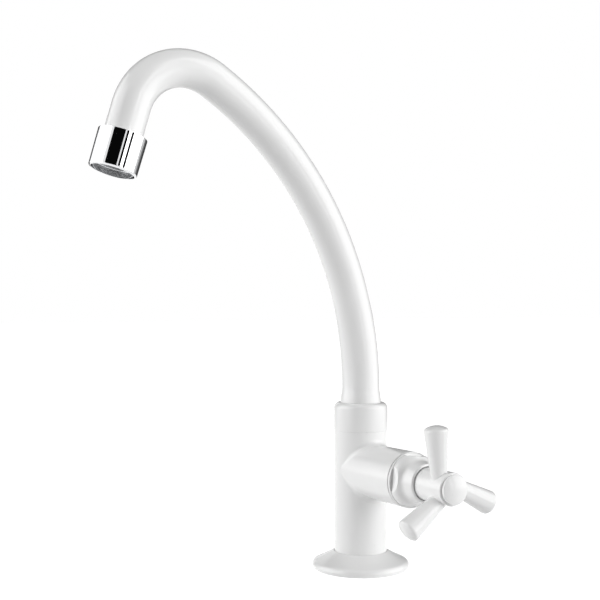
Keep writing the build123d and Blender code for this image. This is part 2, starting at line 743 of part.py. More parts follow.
with BuildPart() as handle_screw:
    screw_tip = shaft_end + slip_gap
    ring(along_branch, screw_radius, 0, screw_tip, web_end)
    head_end = web_end + screw_head_height
    ring(along_branch, screw_head_radius, 0, web_end, head_end)
    with BuildSketch(across(head_end - screw_drive_depth)):
        Rectangle(screw_drive_width, screw_drive_length)
        Rectangle(screw_drive_length, screw_drive_width)
    extrude(amount=screw_drive_depth, mode=Mode.SUBTRACT)
handle_screw.part.label = "handle_screw"

# Cap: shallow dome on a short rim, with a hollow spigot pushed into the hub
with BuildPart() as handle_cap:
    cap_start = hub_end + cap_gap
    crown_rise = cap_height - cap_rim
    crown_radius = (cap_radius**2 + crown_rise**2) / (2 * crown_rise)
    with BuildSketch(along_branch) as cap_profile:
        with BuildLine():
            rim_corner = (cap_radius, cap_start + cap_rim)
            RadiusArc(rim_corner, (0, cap_start + cap_height), -crown_radius)
            Polyline(
                (0, cap_start + cap_height),
                (0, cap_start),
                (cap_neck_radius, cap_start),
                rim_corner,
            )
        make_face()
        fillet(nearest_corner(cap_profile, *rim_corner), radius=cap_rim_round)
    revolve(axis=branch_axis)
    spigot_end = hub_end - cap_spigot_length
    ring(along_branch, cap_spigot_radius, cap_spigot_inner_radius, spigot_end, cap_start)
handle_cap.part.label = "handle_cap"

pieces = [
    tap_body, base_flange, deck_gasket, inlet_shank, clamp_gasket, clamp_washer, clamp_nut,
    spout_collar, slip_washer, thrust_ring, spout_stem, *stem_orings, spout_tube,
    outlet_adaptor, aerator_housing, aerator_gasket, aerator_insert, aerator_screen,
    bonnet_seal, valve_bonnet, seat_gasket, fixed_disc, moving_disc, spindle_washer,
    spindle, *spindle_orings, spindle_clip, handle, handle_screw, handle_cap,
]
os.makedirs("parts", exist_ok=True)
for piece in pieces:
    export_step(piece.part, f"parts/{piece.part.label}.step")
    print(piece.part.label, round(piece.part.volume, 1))
print("outlet point", outlet_point, "direction", outlet_direction)
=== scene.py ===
"""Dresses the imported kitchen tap: smooth turned and swept covers, cut threads, and finishes.

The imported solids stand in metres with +Z up, the foot's centre at the origin, the valve
branch along +X and the spout along -Y. In this script the tap's sizes are in millimetres
and the studio's in metres.
"""

import logging
import math
from dataclasses import dataclass
from enum import Enum
from typing import ClassVar, Sequence

import bmesh
import bpy
from mathutils import Matrix, Vector


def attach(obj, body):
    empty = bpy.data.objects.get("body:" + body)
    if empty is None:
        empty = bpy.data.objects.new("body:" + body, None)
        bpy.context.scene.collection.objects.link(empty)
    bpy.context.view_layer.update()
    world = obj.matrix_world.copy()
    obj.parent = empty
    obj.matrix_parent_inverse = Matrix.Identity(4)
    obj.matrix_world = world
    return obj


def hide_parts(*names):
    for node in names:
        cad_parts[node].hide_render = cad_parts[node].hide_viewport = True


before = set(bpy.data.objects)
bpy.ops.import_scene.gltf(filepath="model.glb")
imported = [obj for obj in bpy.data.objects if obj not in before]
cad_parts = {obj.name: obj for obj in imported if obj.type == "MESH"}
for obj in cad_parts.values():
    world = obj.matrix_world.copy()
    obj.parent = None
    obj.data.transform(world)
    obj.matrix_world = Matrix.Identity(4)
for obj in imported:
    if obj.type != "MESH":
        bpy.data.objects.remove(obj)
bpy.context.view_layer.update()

LOG = logging.getLogger("kitchen_tap")
MM = 0.001
TURN_STEPS = 96
SLEEVE_STEPS = 128
CARD_STEPS = 12
ROUND_STEPS = 6
ARC_STEPS = 10
SHARP_ANGLE = math.radians(32.0)
MERGE_DISTANCE = 1e-4
CUT_TOLERANCE = 1e-5
LOOP_TOLERANCE = 1e-3
BRANCH_HEIGHT = 53.0
OUTLET_PLACE = (0.0, -135.936, 221.791)
OUTLET_AIM = (0.0, -0.287361, -0.957822)
MIX_COLOUR_A, MIX_COLOUR_B, MIX_COLOUR_RESULT = 6, 7, 2


class Station(Enum):
    """The three axes that the tap's round pieces are turned about."""

    COLUMN = "column"
    BRANCH = "branch"
    OUTLET = "outlet"

    def placement(self) -> Matrix:
        """Gives the matrix, in millimetres, that lays local Z along this axis.

        Returns:
            A rigid placement with its origin on the axis.
        """
        if self is Station.COLUMN:
            return Matrix.Identity(4)
        if self is Station.BRANCH:
            along, beside = Vector((1, 0, 0)), Vector((0, 1, 0))
            origin = Vector((0, 0, BRANCH_HEIGHT))
        else:
            along, beside = Vector(OUTLET_AIM).normalized(), Vector((1, 0, 0))
            origin = Vector(OUTLET_PLACE)
        columns = (beside, along.cross(beside), along)
        turn = Matrix([[c[row] for c in columns] for row in range(3)]).to_4x4()
        return Matrix.Translation(origin) @ turn


class Body(Enum):
    """The bodies that move as one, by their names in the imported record."""

    TAP = "tap"
    SPOUT = "spout"
    HANDLE = "valve_handle"


class Profile:
    """An outline of radius and height, drawn corner by corner and then spun about local Z."""

    def __init__(self, radius: float, height: float, rounding: float = 0.0) -> None:
        """Starts the outline.

        Args:
            radius: Distance of the first corner from the axis.
            height: Height of the first corner.
            rounding: Radius of that corner's round, used if the outline is closed.
        """
        self.mesh = bmesh.new()
        self.first = self.mesh.verts.new((radius, 0.0, height))
        self.last = self.first
        self.rounds: list[tuple[bmesh.types.BMVert, float]] = [(self.first, rounding)]

    def line(self, radius: float, height: float, rounding: float = 0.0) -> "Profile":
        """Runs a straight edge to a corner.

        Args:
            radius: Distance of the corner from the axis.
            height: Height of the corner.
            rounding: Radius of the corner's round.

        Returns:
            This outline.
        """
        corner = self.mesh.verts.new((radius, 0.0, height))
        self.mesh.edges.new((self.last, corner))
        self.last = corner
        self.rounds.append((corner, rounding))
        return self

    def arc(self, middle: tuple[float, float], end: tuple[float, float],
            steps: int = ARC_STEPS) -> "Profile":
        """Runs an arc of less than a half circle to a point.

        Args:
            middle: Radius and height of a point on the arc.
            end: Radius and height of its end.
            steps: Number of edges along it.

        Returns:
            This outline.
        """
        start = Vector((self.last.co.x, self.last.co.z))
        centre = circle_centre(start, Vector(middle), Vector(end))
        arm, goal = start - centre, Vector(end) - centre
        angle = math.atan2(arm.y * goal.x - arm.x * goal.y, arm.dot(goal))
        made = bmesh.ops.spin(
            self.mesh, geom=[self.last], cent=(centre.x, 0.0, centre.y), axis=(0, 1, 0),
            dvec=(0, 0, 0), angle=angle, steps=steps, use_merge=False, use_normal_flip=False,
            use_duplicate=False,
        )
        self.last = next(g for g in made["geom_last"] if isinstance(g, bmesh.types.BMVert))
        return self

    def close(self) -> "Profile":
        """Joins the last corner to the first and returns this outline."""
        self.mesh.edges.new((self.last, self.first))
        return self

    def _round_corners(self) -> None:
        """Turns each rounded corner into an arc tangent to its two edges."""
        for corner, rounding in self.rounds:
            if rounding <= 0.0 or len(corner.link_edges) != 2:
                continue
            arms = [edge.other_vert(corner).co - corner.co for edge in corner.link_edges]
            setback = rounding / math.tan(arms[0].angle(arms[1]) / 2.0)
            bmesh.ops.bevel(
                self.mesh, geom=[corner], offset=setback, offset_type="OFFSET",
                segments=ROUND_STEPS, profile=0.5, affect="VERTICES", material=-1,
            )

    def spun(self, steps: int = TURN_STEPS) -> bmesh.types.BMesh:
        """Spins the outline a full turn.

        Args:
            steps: Number of facets round the axis.

        Returns:
            The closed mesh, in millimetres about local Z.
        """
        self._round_corners()
        bmesh.ops.spin(
            self.mesh, geom=self.mesh.verts[:] + self.mesh.edges[:], cent=(0, 0, 0),
            axis=(0, 0, 1), dvec=(0, 0, 0), angle=math.tau, steps=steps, use_merge=True,
            use_normal_flip=False, use_duplicate=False,
        )
        return self.mesh


def circle_centre(a: Vector, b: Vector, c: Vector) -> Vector:
    """Finds the centre of the circle through three points.

    Args:
        a: First point.
        b: Second point.
        c: Third point.

    Returns:
        The centre.
    """
    ab, ac = b - a, c - a
    scale = 2.0 * (ab.x * ac.y - ab.y * ac.x)
    x = (ac.y * ab.length_squared - ab.y * ac.length_squared) / scale
    y = (ab.x * ac.length_squared - ac.x * ab.length_squared) / scale
    return a + Vector((x, y))


def radius_at(taper: Sequence[tuple[float, float]], place: float) -> float:
    """Reads a taper, easing from each of its radii to the next.

    Args:
        taper: Distances and radii, in rising order of distance.
        place: The distance to read it at.

    Returns:
        The radius there.
    """
    for (near, before), (far, after) in zip(taper, taper[1:]):
        if place <= far:
            share = (place - near) / (far - near)
            return before + (after - before) * share * share * (3.0 - 2.0 * share)
    return taper[-1][1]


def extrude_ring(mesh: bmesh.types.BMesh, edges: Sequence[bmesh.types.BMEdge],
                 move: Matrix) -> list[bmesh.types.BMEdge]:
    """Extrudes a ring of edges and moves the new ring.

    Args:
        mesh: The mesh.
        edges: The ring.
        move: What moves the new ring.

    Returns:
        The new ring's edges.
    """
    made = bmesh.ops.extrude_edge_only(mesh, edges=edges)["geom"]
    corners = {g for g in made if isinstance(g, bmesh.types.BMVert)}
    bmesh.ops.transform(mesh, matrix=move, verts=list(corners))
    return [g for g in made if isinstance(g, bmesh.types.BMEdge) and corners.issuperset(g.verts)]


def settle(mesh: bmesh.types.BMesh) -> None:
    """Merges doubles, turns the faces outwards, smooths them and marks the sharp edges.

    Args:
        mesh: The mesh to settle, in millimetres.
    """
    bmesh.ops.remove_doubles(mesh, verts=mesh.verts[:], dist=MERGE_DISTANCE)
    bmesh.ops.recalc_face_normals(mesh, faces=mesh.faces[:])
    for face in mesh.faces:
        face.smooth = True
    for edge in mesh.edges:
        edge.smooth = not edge.is_manifold or edge.calc_face_angle() < SHARP_ANGLE


def make_piece(name: str, mesh: bmesh.types.BMesh, station: Station) -> bpy.types.Object:
    """Turns a mesh in millimetres into an object of the scene, with its place in its mesh.

    Args:
        name: The piece's name.
        mesh: Its mesh about local Z; it is used up.
        station: The axis that local Z is laid along.

    Returns:
        The new object.
    """
    settle(mesh)
    bmesh.ops.transform(mesh, matrix=Matrix.Scale(MM, 4) @ station.placement(), verts=mesh.verts)
    data = bpy.data.meshes.new(name)
    mesh.to_mesh(data)
    mesh.free()
    piece = bpy.data.objects.new(name, data)
    bpy.context.scene.collection.objects.link(piece)
    weighting = piece.modifiers.new("even_shading", "WEIGHTED_NORMAL")
    weighting.keep_sharp = True
    return piece


# ---------------------------------------------------------------- shader node groups


class Sockets(Enum):
    """Socket types of a shader node group."""

    NUMBER = "NodeSocketFloat"
    VECTOR = "NodeSocketVector"


class Effect:
    """A shader node group with named inputs and outputs, built once and used by the finishes."""

    name: ClassVar[str] = ""
    inputs: ClassVar[Sequence[tuple[str, float]]] = ()
    outputs: ClassVar[Sequence[str]] = ()

    @classmethod
    def tree(cls) -> bpy.types.NodeTree:
        """Gives the group, building it on first use.

        Returns:
            The shader node group.
        """
        found = bpy.data.node_groups.get(cls.name)
        if found is not None:
            return found
        tree = bpy.data.node_groups.new(cls.name, "ShaderNodeTree")
        tree.interface.new_socket("Vector", in_out="INPUT", socket_type=Sockets.VECTOR.value)
        number = Sockets.NUMBER.value
        for label, default in cls.inputs:
            socket = tree.interface.new_socket(label, in_out="INPUT", socket_type=number)
            socket.default_value = default
        for label in cls.outputs:
            tree.interface.new_socket(label, in_out="OUTPUT", socket_type=number)
        cls.wire(Wiring(tree))
        return tree

    @classmethod
    def wire(cls, wiring: "Wiring") -> None:
        """Places and links the group's nodes.

        Args:
            wiring: Helper on the new group.
        """
        raise NotImplementedError


class Wiring:
    """Adds and links nodes in one node tree."""

    def __init__(self, tree: bpy.types.NodeTree) -> None:
        """Takes the tree to work in.

        Args:
            tree: A group's or a material's node tree.
        """
        self.tree = tree

    def node(self, kind: str, **settings: object) -> bpy.types.Node:
        """Adds a node.

        Args:
            kind: The node's type name.
            settings: Its properties.

        Returns:
            The node.
        """
        made = self.tree.nodes.new(kind)
        for key, value in settings.items():
            setattr(made, key, value)
        return made

    def link(self, source: bpy.types.NodeSocket, target: bpy.types.NodeSocket) -> None:
        """Links two sockets."""
        self.tree.links.new(source, target)

    def maths(self, operation: str, *terms: float | bpy.types.NodeSocket) -> bpy.types.NodeSocket:
        """Adds a Math node.

        Args:
            operation: The node's operation.
            terms: Its inputs, numbers or sockets.

        Returns:
            Its output.
        """
        made = self.node("ShaderNodeMath", operation=operation)
        for slot, term in zip(made.inputs, terms):
            if isinstance(term, bpy.types.NodeSocket):
                self.link(term, slot)
            else:
                slot.default_value = term
        return made.outputs[0]

    def spread(self, value: bpy.types.NodeSocket, low: float = 0.0, high: float = 1.0,
               to_low: float = 0.0, to_high: float = 1.0) -> bpy.types.NodeSocket:
        """Maps a value from one range to another, clamped.

        Args:
            value: The value.
            low: Start of its range.
            high: End of its range.
            to_low: What the start becomes.
            to_high: What the end becomes.

        Returns:
            The mapped value.
        """
        made = self.node("ShaderNodeMapRange", clamp=True)
        self.link(value, made.inputs["Value"])
        for label, number in (("From Min", low), ("From Max", high),
                              ("To Min", to_low), ("To Max", to_high)):
            made.inputs[label].default_value = number
        return made.outputs["Result"]

    def noise(self, vector: bpy.types.NodeSocket, scale: float | bpy.types.NodeSocket,
              detail: float = 2.0) -> bpy.types.NodeSocket:
        """Adds a noise texture.

        Args:
            vector: Where it is read.
            scale: Its scale, a number or a socket.
            detail: Its detail.

        Returns:
            Its value.
        """
        made = self.node("ShaderNodeTexNoise")
        made.inputs["Detail"].default_value = detail
        self.link(vector, made.inputs["Vector"])
        if isinstance(scale, bpy.types.NodeSocket):
            self.link(scale, made.inputs["Scale"])
        else:
            made.inputs["Scale"].default_value = scale
        return made.outputs["Fac"]


class MouldedSkin(Effect):
    """The skin of a moulding: orange peel, slow sheen changes and a few fine specks."""

    name = "moulded_skin"
    inputs = (("Peel Scale", 900.0), ("Flow Scale", 30.0), ("Speck Scale", 400.0))
    outputs = ("Height", "Flow", "Specks")
    fine_detail: ClassVar[float] = 3.0
    speck_detail: ClassVar[float] = 1.0
    broad_scale: ClassVar[float] = 0.22
    broad_weight: ClassVar[float] = 1.6
    flow_band: ClassVar[tuple[float, float]] = (0.35, 0.65)
    speck_band: ClassVar[tuple[float, float]] = (0.74, 0.8)

    @classmethod
    def wire(cls, wiring: Wiring) -> None:
        """Mixes two noises for the peel, one for the flow and one for the specks."""
        given = wiring.node("NodeGroupInput").outputs
        result = wiring.node("NodeGroupOutput").inputs
        fine = wiring.noise(given["Vector"], given["Peel Scale"], cls.fine_detail)
        broad = wiring.noise(
            given["Vector"], wiring.maths("MULTIPLY", given["Peel Scale"], cls.broad_scale))
        height = wiring.maths("MULTIPLY_ADD", broad, cls.broad_weight, fine)
        wiring.link(height, result["Height"])
        flow = wiring.noise(given["Vector"], given["Flow Scale"], cls.fine_detail)
        wiring.link(wiring.spread(flow, *cls.flow_band), result["Flow"])
        specks = wiring.noise(given["Vector"], given["Speck Scale"], cls.speck_detail)
        wiring.link(wiring.spread(specks, *cls.speck_band), result["Specks"])


class TurnedMarks(Effect):
    """Tool marks of a lathe: rings round local Z with a slight waver, and loose scratches."""

    name = "turned_marks"
    inputs = (("Ring Scale", 6000.0), ("Scratch Scale", 500.0))
    outputs = ("Height", "Rings", "Scratches")
    scratch_detail: ClassVar[float] = 4.0
    stretch: ClassVar[float] = 14.0
    scratch_weight: ClassVar[float] = 0.5
    ring_band: ClassVar[tuple[float, float]] = (0.3, 0.7)
    scratch_band: ClassVar[tuple[float, float]] = (0.55, 0.75)

    @classmethod
    def wire(cls, wiring: Wiring) -> None:
        """Reads noise on radius and height for the rings, and on stretched space for scratches."""
        given = wiring.node("NodeGroupInput").outputs
        result = wiring.node("NodeGroupOutput").inputs
        split = wiring.node("ShaderNodeSeparateXYZ")
        wiring.link(given["Vector"], split.inputs[0])
        across = wiring.maths("MULTIPLY", split.outputs["X"], split.outputs["X"])
        radius = wiring.maths("SQRT", wiring.maths(
            "MULTIPLY_ADD", split.outputs["Y"], split.outputs["Y"], across))
        lathe = wiring.node("ShaderNodeCombineXYZ")
        wiring.link(radius, lathe.inputs["X"])
        wiring.link(split.outputs["Z"], lathe.inputs["Y"])
        rings = wiring.noise(lathe.outputs[0], given["Ring Scale"])
        stretched = wiring.node("ShaderNodeCombineXYZ")
        wiring.link(split.outputs["X"], stretched.inputs["X"])
        wiring.link(split.outputs["Y"], stretched.inputs["Y"])
        drawn_out = wiring.maths("MULTIPLY", split.outputs["Z"], cls.stretch)
        wiring.link(drawn_out, stretched.inputs["Z"])
        scratches = wiring.noise(stretched.outputs[0], given["Scratch Scale"], cls.scratch_detail)
        height = wiring.maths("MULTIPLY_ADD", scratches, cls.scratch_weight, rings)
        wiring.link(height, result["Height"])
        wiring.link(wiring.spread(rings, *cls.ring_band), result["Rings"])
        wiring.link(wiring.spread(scratches, *cls.scratch_band), result["Scratches"])


# ---------------------------------------------------------------- finishes


@dataclass(frozen=True)
class Finish:
    """What every finish has: its slot in the record, two tones and a range of roughness."""

    name: str
    slot: str
    tone: tuple[float, float, float]
    deep_tone: tuple[float, float, float]
    smoothest: float
    roughest: float
    metallic: float = 0.0
    bump_strength: float = 0.1
    bump_distance: float = 0.00002
    station: Station = Station.COLUMN

    def material(self) -> bpy.types.Material:
        """Gives the finish's material, building it on first use.

        Returns:
            The material.
        """
        found = bpy.data.materials.get(self.name)
        if found is not None:
            return found
        made = bpy.data.materials.new(self.name)
        made.use_nodes = True
        made.diffuse_color = (*self.tone, 1.0)
        made.node_tree.nodes.clear()
        wiring = Wiring(made.node_tree)
        shader = wiring.node("ShaderNodeBsdfPrincipled")
        shader.inputs["Metallic"].default_value = self.metallic
        wiring.link(shader.outputs[0], wiring.node("ShaderNodeOutputMaterial").inputs["Surface"])
        self.dress_shader(wiring, shader)
        return made

    def dress_shader(self, wiring: Wiring, shader: bpy.types.Node) -> None:
        """Links the finish's effect to the shader.

        Args:
            wiring: Helper on the material's tree.
            shader: The Principled BSDF.
        """
        raise NotImplementedError

    def place_effect(self, wiring: Wiring, effect: type[Effect],
                     values: dict[str, float]) -> bpy.types.Node:
        """Adds an effect group that reads Object coordinates laid along this finish's axis.

        Args:
            wiring: Helper on the material's tree.
            effect: The effect.
            values: Numbers for its inputs.

        Returns:
            The group node.
        """
        group = wiring.node("ShaderNodeGroup", node_tree=effect.tree())
        for label, number in values.items():
            group.inputs[label].default_value = number
        back = self.station.placement()
        back.translation *= MM
        back.invert()
        mapping = wiring.node("ShaderNodeMapping")
        mapping.inputs["Location"].default_value = back.translation
        mapping.inputs["Rotation"].default_value = back.to_euler()
        wiring.link(wiring.node("ShaderNodeTexCoord").outputs["Object"], mapping.inputs["Vector"])
        wiring.link(mapping.outputs["Vector"], group.inputs["Vector"])
        return group

    def blend_tones(self, wiring: Wiring, amount: bpy.types.NodeSocket,
                    shader: bpy.types.Node) -> None:
        """Mixes the two tones into Base Color.

        Args:
            wiring: Helper on the material's tree.
            amount: 0 for the main tone, 1 for the deep one.
            shader: The Principled BSDF.
        """
        mix = wiring.node("ShaderNodeMix", data_type="RGBA")
        wiring.link(amount, mix.inputs["Factor"])
        mix.inputs[MIX_COLOUR_A].default_value = (*self.tone, 1.0)
        mix.inputs[MIX_COLOUR_B].default_value = (*self.deep_tone, 1.0)
        wiring.link(mix.outputs[MIX_COLOUR_RESULT], shader.inputs["Base Color"])

    def bump(self, wiring: Wiring, height: bpy.types.NodeSocket, shader: bpy.types.Node) -> None:
        """Feeds a height through a Bump node into Normal.

        Args:
            wiring: Helper on the material's tree.
            height: The effect's height.
            shader: The Principled BSDF.
        """
        relief = wiring.node("ShaderNodeBump")
        relief.inputs["Strength"].default_value = self.bump_strength
        relief.inputs["Distance"].default_value = self.bump_distance
        wiring.link(height, relief.inputs["Height"])
        wiring.link(relief.outputs["Normal"], shader.inputs["Normal"])


@dataclass(frozen=True)
class Moulded(Finish):
    """A moulded, cast or pressed material, from gloss plastic to rubber."""

    peel_scale: float = 900.0
    flow_scale: float = 30.0
    speck_scale: float = 400.0
    flow_share: float = 0.6

    def dress_shader(self, wiring: Wiring, shader: bpy.types.Node) -> None:
        """Uses the moulded skin for tone, roughness and relief.

        Args:
            wiring: Helper on the material's tree.
            shader: The Principled BSDF.
        """
        skin = self.place_effect(wiring, MouldedSkin, {
            "Peel Scale": self.peel_scale, "Flow Scale": self.flow_scale,
            "Speck Scale": self.speck_scale,
        })
        tint = wiring.maths("MULTIPLY_ADD", skin.outputs["Flow"], self.flow_share,
                            skin.outputs["Specks"])
        self.blend_tones(wiring, wiring.maths("MINIMUM", tint, 1.0), shader)
        sheen = wiring.spread(skin.outputs["Flow"], to_low=self.smoothest, to_high=self.roughest)
        wiring.link(sheen, shader.inputs["Roughness"])
        self.bump(wiring, skin.outputs["Height"], shader)


@dataclass(frozen=True)
class Turned(Finish):
    """A turned, ground or polished material with ring-shaped tool marks."""

    ring_scale: float = 6000.0
    scratch_scale: float = 500.0

    def dress_shader(self, wiring: Wiring, shader: bpy.types.Node) -> None:
        """Uses the tool marks for tone, roughness and relief.

        Args:
            wiring: Helper on the material's tree.
            shader: The Principled BSDF.
        """
        marks = self.place_effect(wiring, TurnedMarks, {
            "Ring Scale": self.ring_scale, "Scratch Scale": self.scratch_scale,
        })
        self.blend_tones(wiring, marks.outputs["Rings"], shader)
        wear = wiring.spread(marks.outputs["Scratches"], to_low=self.smoothest,
                             to_high=self.roughest)
        wiring.link(wear, shader.inputs["Roughness"])
        self.bump(wiring, marks.outputs["Height"], shader)


WHITE_GLOSS = Moulded(
    "white_gloss_moulding", "white_plastic", (0.885, 0.886, 0.884), (0.862, 0.863, 0.86),
    0.16, 0.24, bump_strength=0.06, bump_distance=0.00003,
)
SATIN_GREY = Moulded(
    "satin_grey_moulding", "grey_plastic", (0.5, 0.51, 0.52), (0.43, 0.44, 0.45), 0.42, 0.55,
    bump_strength=0.2, peel_scale=1600.0,
)
# The insert's grey is darkened well below its plain grey tone: painted shade of the hollow inside
# the chrome sleeve's mouth.
SHADE_DARKENED_INSERT = Moulded(
    "grey_insert_painted_shade", "grey_plastic", (0.22, 0.225, 0.23), (0.17, 0.175, 0.18), 0.42, 0.55,
    bump_strength=0.2, peel_scale=1600.0, station=Station.OUTLET,
)
NATURAL_NYLON = Moulded(
    "natural_nylon", "nylon", (0.8, 0.78, 0.7), (0.73, 0.7, 0.61), 0.38, 0.5,
    bump_strength=0.15,
)
BLACK_RUBBER = Moulded(
    "black_rubber", "rubber", (0.022, 0.022, 0.023), (0.05, 0.05, 0.05), 0.6, 0.8,
    bump_strength=0.3, peel_scale=2400.0, speck_scale=1500.0,
)
LAPPED_CERAMIC = Turned(
    "lapped_ceramic", "ceramic", (0.84, 0.83, 0.78), (0.8, 0.79, 0.73), 0.08, 0.2,
    bump_strength=0.05, station=Station.BRANCH,
)
TURNED_BRASS = Turned(
    "turned_brass", "brass", (0.72, 0.52, 0.25), (0.6, 0.42, 0.18), 0.2, 0.38, metallic=1.0,
    bump_strength=0.3, station=Station.BRANCH,
)
BRANCH_STEEL = Turned(
    "plain_steel", "steel", (0.6, 0.6, 0.61), (0.48, 0.48, 0.49), 0.25, 0.42, metallic=1.0,
    bump_strength=0.25, station=Station.BRANCH,
)
PRESSED_STEEL = Turned(
    "pressed_steel", "steel", (0.58, 0.58, 0.59), (0.47, 0.47, 0.48), 0.3, 0.46, metallic=1.0,
    bump_strength=0.25,
)
WOVEN_STEEL = Turned(
    "screen_steel", "steel", (0.55, 0.55, 0.56), (0.45, 0.45, 0.46), 0.3, 0.46, metallic=1.0,
    bump_strength=0.25, station=Station.OUTLET,
)
POLISHED_CHROME = Turned(
    "polished_chrome", "chrome", (0.8, 0.805, 0.815), (0.775, 0.78, 0.79), 0.035, 0.07,
    metallic=1.0, bump_strength=0.01, bump_distance=0.00001, station=Station.OUTLET,
)


@dataclass
class Assembly:
    """A group of pieces that ride on one body, and what is common to dressing them."""

    body: ClassVar[Body] = Body.TAP
    carried: ClassVar[dict[str, Finish]] = {}

    def fit(self, piece: bpy.types.Object, finish: Finish, *nodes: str) -> None:
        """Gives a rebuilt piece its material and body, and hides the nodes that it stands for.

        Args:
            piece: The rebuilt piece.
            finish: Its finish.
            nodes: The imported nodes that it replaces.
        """
        piece.data.materials.append(finish.material())
        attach(piece, self.body.value)
        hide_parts(*nodes)
        LOG.info("rebuilt %s: %d faces, %s", piece.name, len(piece.data.polygons), finish.name)

    def dress_carried(self) -> None:
        """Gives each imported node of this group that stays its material."""
        for name, finish in self.carried.items():
            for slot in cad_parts[name].material_slots:
                slot.material = finish.material()
            LOG.info("dressed %s: %s", name, finish.name)

    def build(self) -> None:
        """Builds the group's new pieces."""
        raise NotImplementedError


@dataclass
class ColumnFoot(Assembly):
    """The column's moulding and the flared flange that it stands in."""

    carried: ClassVar[dict[str, Finish]] = {"tap_body": WHITE_GLOSS, "deck_gasket": BLACK_RUBBER}
    bore: float = 14.125
    top: float = 9.4
    top_edge: float = 0.3
    top_bevel: tuple[float, float] = (0.6, 0.25)
    shoulder: tuple[float, float] = (24.2, 4.3)
    slope_sag: float = 0.25
    rim_middle: tuple[float, float] = (25.45, 3.25)
    rim: tuple[float, float] = (26.0, 1.8)
    foot: float = 25.2
    foot_edge: float = 0.15
    recess: tuple[float, float] = (15.7, 23.8)
    recess_height: float = 2.25

    def build(self) -> None:
        """Turns the flange with its hollow slope, full rim and gasket recess."""
        start = (self.bore + self.top_bevel[0], self.top - self.top_bevel[1])
        middle = ((start[0] + self.shoulder[0]) / 2.0,
                  (start[1] + self.shoulder[1]) / 2.0 - self.slope_sag)
        inner, outer = self.recess
        outline = Profile(self.bore, 0.0, self.foot_edge)
        outline.line(self.bore, self.top, self.top_edge).line(*start)
        outline.arc(middle, self.shoulder).arc(self.rim_middle, self.rim)
        outline.line(self.foot, 0.0, self.foot_edge).line(outer, 0.0, self.foot_edge)
        outline.line(outer, self.recess_height).line(inner, self.recess_height)
        outline.line(inner, 0.0, self.foot_edge)
        piece = make_piece("base_flange_turned", outline.close().spun(), Station.COLUMN)
        self.fit(piece, WHITE_GLOSS, "base_flange")


